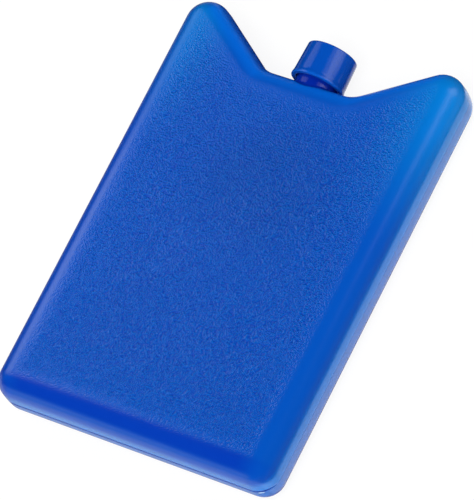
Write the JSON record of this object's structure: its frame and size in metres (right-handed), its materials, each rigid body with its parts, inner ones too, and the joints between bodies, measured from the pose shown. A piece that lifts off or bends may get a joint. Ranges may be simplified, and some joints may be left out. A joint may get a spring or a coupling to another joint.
{
  "type": "reusable ice pack",
  "caption": "Flat rectangular reusable ice pack with a sealed blow-moulded body, rounded ears either side of a notch, and a small capped neck.",
  "frame": {"origin": "on the resting plane, under the centre of the pack's outer box", "axes": "+X across the width, +Y along the length towards the cap, +Z out of the front face; the pack lies on its back face"},
  "size_m": [0.1, 0.1422, 0.019],
  "materials": {
    "container": "satin blue polyethylene, slightly translucent, with a fine leather grain on both faces and smooth rounded borders",
    "cap": "smooth semi-gloss deep blue plastic"
  },
  "bodies": {
    "root": {"container": "container", "cap": "cap"}
  },
  "joints": []
}
